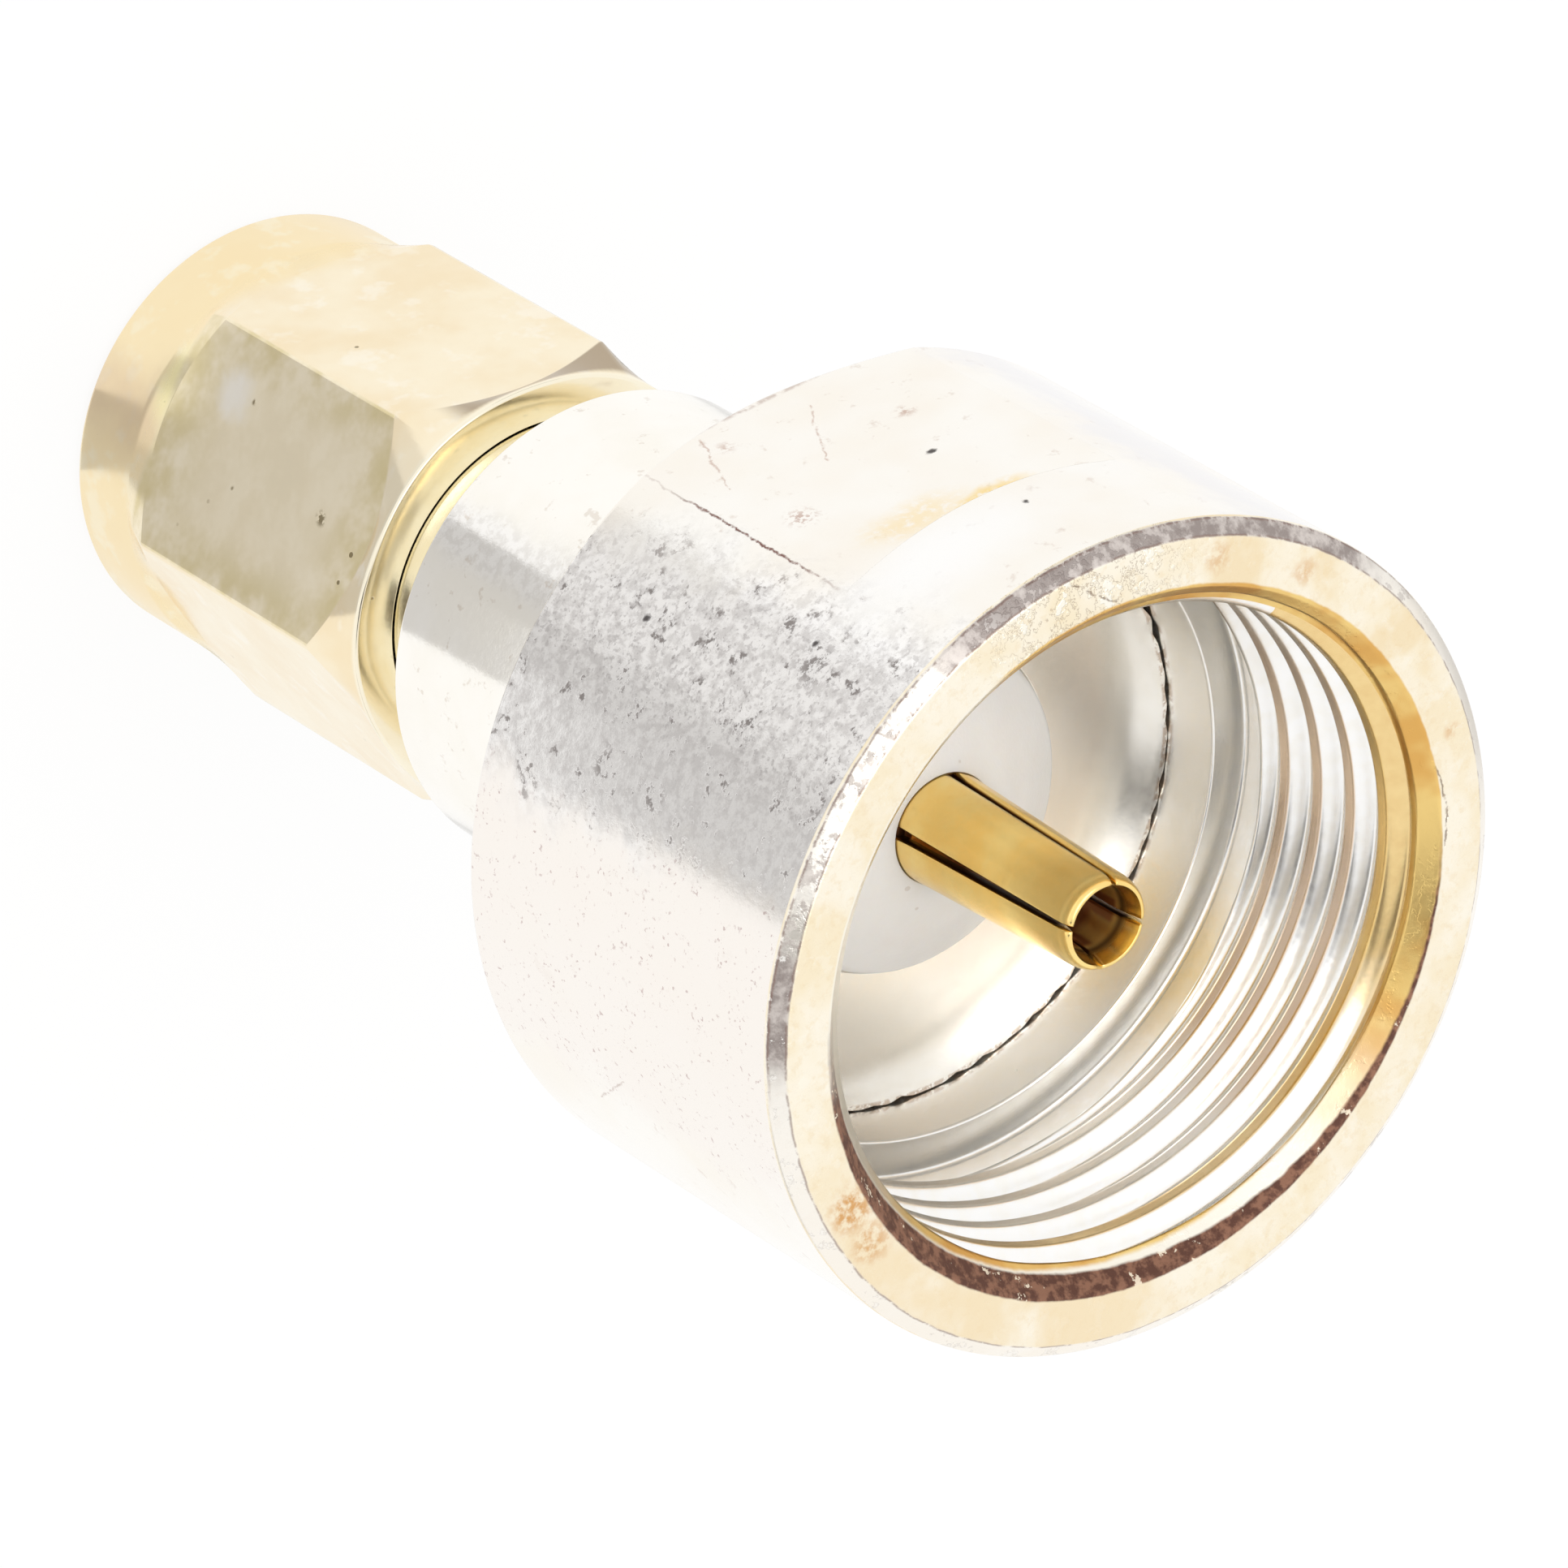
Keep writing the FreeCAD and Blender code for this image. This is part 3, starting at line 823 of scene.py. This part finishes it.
    # Chamfer inside
    mouth = g.times(g.ramp(edge, 6.76, 6.71), g.ramp(g.z, 26.9, 27.0))
    round_way = g.clockwise(turn)
    gold = g.mix(g.ramp(cloud, 0.38, 0.62), rgb(243, 210, 134), rgb(226, 176, 98))
    pale = rgb(252, 246, 232)
    first = g.most(g.ramp(round_way, 120, 84), g.ramp(round_way, 296, 308))
    inner_line = g.times(g.ramp(edge, 6.34, 6.26), g.ramp(round_way, 215, 190))
    mouth_color = g.mix(g.most(first, inner_line), pale, gold)
    sill = g.line(g.ramp(round_way, 66, 180), -0.34, 6.67)
    sill = g.line(g.ramp(round_way, 195, 260), 0.20, sill)
    above_sill = g.ramp(g.math("SUBTRACT", edge, sill), -0.02, 0.03)
    umber_mask = g.times(above_sill, g.ramp(round_way, 52, 70), g.ramp(round_way, 246, 226))
    umber = g.mix(g.ramp(fine, 0.40, 0.62), rgb(92, 56, 42), rgb(142, 100, 78))
    umber = g.mix(g.times(g.ramp(flake, 0.62, 0.65), 0.8), umber, rgb(246, 232, 208))
    mouth_color = g.mix(umber_mask, mouth_color, umber)
    color = g.mix(mouth, color, mouth_color)

    grime = g.most(g.times(dirt, 0.7), g.times(mouth, umber_mask))
    rough = g.blend(grime, g.line(fine, 0.12, 0.24), 0.5)
    metal = g.line(grime, -0.6, 1.0)
    height = g.math("SUBTRACT", g.times(flaked, 0.7), g.most(splits, g.times(wrinkle, 0.6)))
    return g.finish(color, rough, metal, g.bump(g.line(fine, 0.2, height), 0.015))


def shell_inside():
    """Bright nickel of the thread and the seat, with thin tan lines on some crests."""
    g = Graph("nickel_bright")
    fine = g.noise(3.0, 2, 0.6)
    color = g.mix(g.ramp(fine, 0.35, 0.7), rgb(255, 254, 252), rgb(254, 252, 247))
    turn = g.wander(g.angle, 12, 0.7)
    # Tan on the crests, stronger over one side of the bore
    crest = g.times(g.ramp(g.radius, 6.19, 6.155), g.band(g.z, 22.6, 27.05, 0.05))
    crest_side = g.band(turn, -150, -60, 12)
    color = g.mix(g.times(crest, crest_side, 0.55), color, rgb(224, 180, 136))
    color = g.mix(g.times(crest, 0.2), color, rgb(232, 214, 188))

    # Gold stain over the first turn, narrowing to its crest further round
    round_way = g.clockwise(turn)
    near_mouth = g.line(g.ramp(round_way, 200, 90), -0.55, 27.0)
    high = g.math("SUBTRACT", g.wander(g.z, 0.08, 1.2), near_mouth)
    upper_side = g.most(g.ramp(round_way, 105, 80), g.ramp(round_way, 300, 320))
    stained = g.most(
        g.times(g.ramp(high, -0.02, 0.10), upper_side),
        g.times(crest, g.ramp(g.z, 25.7, 26.1), 0.8))
    gold = g.mix(fine, rgb(246, 214, 134), rgb(232, 190, 108))
    color = g.mix(g.times(stained, 0.85), color, gold)
    rough = g.line(fine, 0.12, 0.18)
    return g.finish(color, rough, 1.0, g.bump(fine, 0.003))


def satin_nickel():
    """Nickel plate of the body: bright on the neck, satin on the flange."""
    g = Graph("nickel_satin")
    cloud = g.noise(0.5, 3, 0.55)
    fine = g.noise(5.0, 3, 0.65)
    turn = g.wander(g.angle, 4, 1.2)
    color = g.mix(g.ramp(cloud, 0.35, 0.7), rgb(255, 252, 246), rgb(252, 248, 239))
    on_neck = g.ramp(g.z, 19.0, 18.6)
    hazed = g.times(g.band(turn, 33, 46, 4), on_neck)
    haze = g.mix(g.ramp(fine, 0.40, 0.62), rgb(250, 248, 245), rgb(234, 231, 227))
    color = g.mix(g.times(hazed, 0.85), color, haze)
    dusty = g.times(g.ramp(g.noise(2.4, 3, 0.65, offset=4.0), 0.62, 0.70), on_neck)
    color = g.mix(g.times(dusty, 0.45), color, rgb(214, 200, 184))
    flange = g.ramp(g.z, 19.0, 19.3)
    satin = g.mix(g.ramp(cloud, 0.3, 0.7), rgb(253, 250, 244), rgb(247, 243, 235))
    color = g.mix(flange, color, satin)
    teeth = g.times(flange, g.ramp(g.radius, 5.80, 5.86), g.ramp(fine, 0.42, 0.55))
    color = g.mix(g.times(teeth, 0.55), color, rgb(176, 140, 108))
    rough = g.line(fine, 0.08, 0.08)
    rough = g.blend(flange, rough, g.line(fine, 0.10, 0.16))
    return g.finish(color, rough, 1.0, g.bump(fine, 0.002))


def pale_gold():
    """Thin gold of the nut: cream where it shines, yellower on the collar, dulled on one flat."""
    g = Graph("gold_pale")
    cloud = g.noise(0.45, 3, 0.6)
    fine = g.noise(5.0, 3, 0.65)
    patches = g.noise(1.1, 3, 0.6, offset=25.0)
    ragged = g.warped(0.08, 3.0)
    color = g.mix(g.ramp(cloud, 0.35, 0.68), rgb(251, 239, 212), rgb(247, 229, 194))
    color = g.mix(g.times(g.ramp(patches, 0.54, 0.68), 0.4), color, rgb(255, 251, 240))
    collar = g.ramp(g.wander(g.z, 0.15, 1.0), 2.7, 1.9)
    color = g.mix(g.times(collar, 0.75), color, rgb(249, 229, 184))
    color = g.mix(g.times(collar, g.ramp(patches, 0.50, 0.62), 0.6), color, rgb(250, 240, 212))
    # Painted reflection: a darker band round the collar, standing in for a dark card seen in the metal
    painted_collar_reflection = g.times(collar, g.band(g.wander(g.angle, 8, 1.0), 47, 64, 9))
    color = g.mix(g.times(painted_collar_reflection, g.line(patches, 0.8, 0.2)), color, rgb(222, 198, 168))
    # Painted highlight: a bright yellow sliver where the collar meets the flat
    painted_sliver_highlight = g.spot(g.warped(0.1, 1.5), (4.1, 45, 2.2), 0.5, 0.6, (0.7, 0.7, 1.8))
    color = g.mix(g.times(painted_sliver_highlight, 0.7), color, rgb(255, 246, 190))

    # The dulled flat, olive along its edges
    across = g.math("ABSOLUTE", g.math("SUBTRACT", g.angle, NUT_TURN + 60))
    past_end = g.math("SUBTRACT", g.z, g.line(g.square(across), -FLAT_END_CURVE, FLAT_END))
    dulled = g.times(g.ramp(across, 30.2, 29.6), g.ramp(g.z, 2.1, 2.3), g.ramp(past_end, 0.04, -0.04))
    patchy = g.mix(g.ramp(patches, 0.30, 0.70), rgb(252, 241, 216), rgb(244, 231, 202))
    color = g.mix(g.times(dulled, 0.85), color, patchy)
    border = g.most(g.ramp(across, 15, 30), g.ramp(g.z, 4.2, 2.4), g.ramp(g.z, 7.4, 8.8))
    olive = g.times(dulled, border, g.ramp(patches, 0.28, 0.66))
    color = g.mix(g.times(olive, 0.75), color, rgb(222, 206, 154))
    pale_patch = g.spot(g.warped(0.3, 1.5), (4.15, 39, 3.9), 0.4, 0.7)
    color = g.mix(g.times(pale_patch, 0.8), color, rgb(253, 249, 242))

    # Rear cone, browned round one side
    beside = g.math("SUBTRACT", g.angle, NUT_TURN)
    cone = g.line(g.square(beside), FLAT_END_CURVE, g.math("SUBTRACT", g.z, FLAT_END))
    rear = g.times(g.ramp(cone, 0.0, 0.06), g.band(g.angle, -62, 14, 4))
    rear = g.times(rear, g.ramp(g.wander(g.z, 0.05, 1.5), 9.42, 9.2))
    color = g.mix(g.times(rear, 0.9), color, rgb(170, 152, 128))
    rim = g.ramp(g.z, 9.35, 9.45)
    color = g.mix(g.times(rim, 0.8), color, rgb(252, 245, 224))
    black = g.most(
        g.spot(ragged, (4.16, 38.7, 4.50), 0.05, 0.6),
        g.spot(ragged, (4.02, 60.9, 4.75), 0.04, 0.7),
        g.times(g.spot(ragged, (4.0, 56.0, 7.47), 0.12, 0.6), g.ramp(fine, 0.40, 0.5)),
        g.times(g.pits(2.0, 0.12, 0.2), g.ramp(cloud, 0.45, 0.6)))
    color = g.mix(g.times(black, 0.8), color, rgb(120, 104, 66))
    rough = g.line(fine, 0.08, 0.10)
    rough = g.blend(g.most(g.times(dulled, 0.6), g.times(collar, 0.7)), rough, 0.34)
    height = g.math("SUBTRACT", g.times(patches, 0.3), black)
    return g.finish(color, rough, 1.0, g.bump(height, 0.006))


def contact_plate():
    """Bright gold of the contact, with painted shade down its slots and bore."""
    g = Graph("gold_bright")
    cloud = g.noise(0.9, 3, 0.6)
    fine = g.noise(7.0, 2, 0.6)
    color = g.mix(g.ramp(cloud, 0.35, 0.7), rgb(255, 227, 150), rgb(254, 215, 128))
    color = g.mix(g.times(g.ramp(fine, 0.55, 0.7), 0.12), color, rgb(232, 190, 116))
    taper = (SOCKET - ROOT) / (FINGER_BEND - FINGER_LOW)
    outside = g.line(g.z, taper, ROOT - FINGER_LOW * taper)
    depth = g.math("SUBTRACT", outside, g.radius)
    hollow = g.times(g.ramp(depth, 0.03, 0.10), g.band(g.z, 21.6, 26.30, 0.12))
    # Painted shade: brown deep in the bore and beside the slots near the tip, darkest on the slot walls
    painted_slot_shade = g.times(hollow, g.ramp(depth, 0.31, 0.27))
    quarter = g.math("MULTIPLY", g.math("SUBTRACT", g.angle, SLOT_TURN), math.pi / 90)
    beside_slot = g.ramp(g.math("ABSOLUTE", g.math("SINE", quarter)), 0.80, 0.55)
    painted_bore_shade = g.most(g.times(beside_slot, g.ramp(g.z, 26.15, 26.0)), g.ramp(g.z, 25.7, 25.4))
    painted_bore_shade = g.times(hollow, painted_bore_shade)
    color = g.mix(painted_bore_shade, color, rgb(200, 142, 92))
    color = g.mix(painted_slot_shade, color, rgb(84, 54, 34))
    rough = g.line(fine, 0.08, 0.18)
    rough = g.blend(hollow, rough, 0.42)
    return g.finish(color, rough, 1.0, g.bump(fine, 0.0015))


def plated(name, light, dark, roughness, grain):
    """An even plated finish with faint clouds and a fine grain."""
    g = Graph(name)
    cloud = g.noise(0.8, 4, 0.6)
    fine = g.noise(7.0, 3, 0.6)
    color = g.mix(g.ramp(cloud, 0.35, 0.7), light, dark)
    darker = tuple(c * 0.6 for c in dark[:3]) + (1,)
    color = g.mix(g.times(g.pits(2.5, 0.2, 0.4), 0.35), color, darker)
    rough = g.line(g.math("SUBTRACT", fine, 0.5), 0.10, roughness)
    return g.finish(color, rough, 1.0, g.bump(fine, grain))


def solid_plastic(name, light, dark, roughness, scatter):
    """A moulded or turned plastic, faintly clouded and a little translucent."""
    g = Graph(name)
    cloud = g.noise(0.9, 4, 0.55)
    fine = g.noise(14.0, 2, 0.5)
    color = g.mix(g.ramp(cloud, 0.3, 0.75), light, dark)
    color = g.mix(g.times(g.pits(2.0, 0.14, 0.3), 0.3), color, rgb(190, 170, 150))
    rough = g.line(g.math("SUBTRACT", fine, 0.5), 0.10, roughness)
    mat = g.finish(color, rough, 0.0, g.bump(fine, 0.003))
    g.shader.inputs["Subsurface Weight"].default_value = scatter
    g.shader.inputs["Subsurface Radius"].default_value = (0.6 * MM, 0.5 * MM, 0.4 * MM)
    g.shader.inputs["Subsurface Scale"].default_value = 1.0
    return mat


nickel = [shell_outside(), shell_rim(), shell_inside()]
body_nickel = [satin_nickel()]
nut_gold = [pale_gold()]
ferrule_gold = [plated("gold_plain", rgb(253, 247, 226), rgb(250, 240, 210), 0.18, 0.002)]
contact_gold = [contact_plate()]
bronze = plated("bronze_spring", rgb(206, 160, 104), rgb(176, 128, 80), 0.3, 0.003)
disc_plastic = [solid_plastic("insulator_plastic", rgb(255, 252, 248), rgb(252, 247, 242), 0.24, 0.3)]
ptfe = [solid_plastic("ptfe_white", rgb(244, 243, 240), rgb(236, 234, 230), 0.4, 0.4)]
rubber = solid_plastic("gasket_rubber", rgb(150, 62, 40), rgb(120, 48, 32), 0.55, 0.0)

# Each piece with the body it rides on, the CAD nodes it replaces, its slot and its finishes
PIECES = [
    (shell, "shell", ["coupling_shell"], "shell_nickel", nickel),
    (nut, "sma_nut", ["sma_coupling_nut"], "nut_gold", nut_gold),
    (body, "adapter", ["adapter_body"], "body_nickel", body_nickel),
    (ferrule, "adapter", ["sma_ferrule"], "ferrule_gold", ferrule_gold),
    (rear_insulator, "adapter", ["rear_insulator"], "ptfe_white", ptfe),
    (front_insulator, "adapter", ["front_insulator"], "insulator_plastic", disc_plastic),
    (contact, "adapter", ["centre_contact"], "contact_gold", contact_gold),
]
for piece, rides_on, nodes, slot, finishes in PIECES:
    for finish in finishes:
        piece.data.materials.append(finish)
    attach(piece, rides_on)
    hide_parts(*nodes)

for name, finish in (("retaining_ring", bronze), ("sma_gasket", rubber)):
    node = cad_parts[name]
    node.data.materials.clear()
    node.data.materials.append(finish)

# Floor

REACH = 3.0                 # metres
PLAIN_SHARE = 0.88          # of plain white in what the camera and reflections see of the floor


def sheet_mesh(name, corners):
    mesh = bpy.data.meshes.new(name)
    mesh.from_pydata(corners, [], [tuple(range(len(corners)))])
    obj = linked(bpy.data.objects.new(name, mesh))
    return obj


def floor_material():
    """Matt white that keeps a shadow, and mostly plain white to the camera and in reflections."""
    mat = bpy.data.materials.new("floor")
    mat.use_nodes = True
    tree = mat.node_tree
    tree.nodes.clear()
    out = tree.nodes.new("ShaderNodeOutputMaterial")
    paths = tree.nodes.new("ShaderNodeLightPath")
    seen = None
    for ray in ("Is Camera Ray", "Is Glossy Ray", "Is Transmission Ray"):
        add = tree.nodes.new("ShaderNodeMath")
        add.operation = "ADD"
        add.use_clamp = True
        tree.links.new(paths.outputs[ray], add.inputs[0])
        if seen is None:
            add.inputs[1].default_value = 0.0
        else:
            tree.links.new(seen, add.inputs[1])
        seen = add.outputs[0]
    share = tree.nodes.new("ShaderNodeMath")
    share.operation = "MULTIPLY"
    share.inputs[1].default_value = PLAIN_SHARE
    tree.links.new(seen, share.inputs[0])
    matt = tree.nodes.new("ShaderNodeBsdfDiffuse")
    matt.inputs["Color"].default_value = rgb(250, 249, 247)
    glow = tree.nodes.new("ShaderNodeEmission")
    glow.inputs["Color"].default_value = (1, 1, 1, 1)
    glow.inputs["Strength"].default_value = 1.0
    both = tree.nodes.new("ShaderNodeMixShader")
    tree.links.new(share.outputs[0], both.inputs[0])
    tree.links.new(matt.outputs[0], both.inputs[1])
    tree.links.new(glow.outputs[0], both.inputs[2])
    tree.links.new(both.outputs[0], out.inputs["Surface"])
    mat.cycles.emission_sampling = "NONE"
    return mat


corners = [(-REACH, -REACH, 0), (REACH, -REACH, 0), (REACH, REACH, 0), (-REACH, REACH, 0)]
floor = sheet_mesh("floor", corners)
floor.data.materials.append(floor_material())


# Cards that show only in reflections, as dark bands, with the sky and the lamp

def direction(azimuth, elevation):
    a = math.radians(azimuth)
    e = math.radians(elevation)
    return Vector((math.cos(a) * math.cos(e), math.sin(a) * math.cos(e), math.sin(e)))


def spread(low, high, steps):
    return [low + (high - low) * i / steps for i in range(steps + 1)]


def reflected_only(card, tone):
    """Makes a stage card seen only in reflections, at one even tone."""
    mat = bpy.data.materials.new(card.name)
    mat.use_nodes = True
    mat.node_tree.nodes.clear()
    end = mat.node_tree.nodes.new("ShaderNodeOutputMaterial")
    glow = mat.node_tree.nodes.new("ShaderNodeEmission")
    glow.inputs["Color"].default_value = tone + (1,)
    mat.node_tree.links.new(glow.outputs[0], end.inputs["Surface"])
    mat.cycles.emission_sampling = "NONE"
    card.data.materials.append(mat)
    card.visible_camera = False
    card.visible_diffuse = False
    card.visible_shadow = False
    card.visible_transmission = False


def floor_card(name, low, high, near, far, height, tone):
    """A grey card of the studio flat above the floor, between two azimuths and two radii."""
    turns = spread(low, high, 30)
    points = [metres(near, math.radians(a), height) for a in turns]
    points += [metres(far, math.radians(a), height) for a in reversed(turns)]
    reflected_only(sheet_mesh(name, points), tone)


def sky_card(name, low, high, bottom, top, distance, tone):
    """A dark card of the studio above the object, between two azimuths and two elevations."""
    turns = spread(low, high, 6)
    points = [direction(a, bottom) * distance for a in turns]
    points += [direction(a, top) * distance for a in reversed(turns)]
    reflected_only(sheet_mesh(name, points), tone)


DARK = (0.64, 0.63, 0.62)
GREY = (0.84, 0.83, 0.82)
LIFT = 0.02
NECK_CARD = 13.8            # radii where the card that one piece reflects gives way to the next
SHELL_CARD = 25.2
CARD_END = 40
floor_card("card_collar", 57, 80, 4.3, 6.2, LIFT, DARK)
floor_card("card_nut", 36, 86, 6.2, NECK_CARD, LIFT, DARK)
floor_card("card_neck", 46, 59, NECK_CARD, SHELL_CARD, LIFT, DARK)
floor_card("card_shell", 46, 79, SHELL_CARD, CARD_END, LIFT, DARK)
floor_card("card_grey", 18, 46, NECK_CARD, CARD_END, 1.5 * LIFT, GREY)
for number, middle in enumerate((-32, 135, 252)):
    floor_card(f"card_side_{number}", middle - 12, middle + 12, 60, 1500, LIFT, DARK)
sky_card("card_high", 84, 112, 38, 70, 0.5, (0.12, 0.11, 0.10))

world = bpy.data.worlds.new("studio")
world.use_nodes = True
bpy.context.scene.world = world
background = world.node_tree.nodes["Background"]
background.inputs["Color"].default_value = (1, 1, 1, 1)
background.inputs["Strength"].default_value = 1.0
world.cycles.sampling_method = "NONE"


LAMP_DISTANCE = 0.5         # metres, as the next two
LAMP_SIZE = 0.40
LAMP_AIM = 0.02
LAMP_WATTS = 0.62
lamp_data = bpy.data.lights.new("overhead", "AREA")
lamp_data.shape = "DISK"
lamp_data.size = LAMP_SIZE
lamp_data.energy = LAMP_WATTS
lamp = linked(bpy.data.objects.new("overhead", lamp_data))
towards = direction(12, 72)
lamp.location = Vector((0, 0, LAMP_AIM)) + towards * LAMP_DISTANCE
lamp.rotation_mode = "QUATERNION"
lamp.rotation_quaternion = (-towards).to_track_quat("-Z", "Y")

# Camera, at the photograph's viewing angle

right = Vector((-0.12795, -0.80063, 0.58533))
up = Vector((0.84989, -0.39271, -0.35137))
ahead = Vector((-0.51118, -0.45251, -0.7307))
stand = Vector((128.018, 114.376, 201.405)) * MM
lens = bpy.data.cameras.new("camera")
lens.sensor_width = 36
lens.sensor_height = 36
lens.sensor_fit = "HORIZONTAL"
lens.lens = 320.631
lens.clip_start = 0.01
lens.clip_end = 20
camera = linked(bpy.data.objects.new("camera", lens))
camera.matrix_world = Matrix.Translation(stand) @ Matrix((right, up, -ahead)).transposed().to_4x4()
bpy.context.scene.camera = camera

bpy.context.scene.view_settings.view_transform = "Standard"
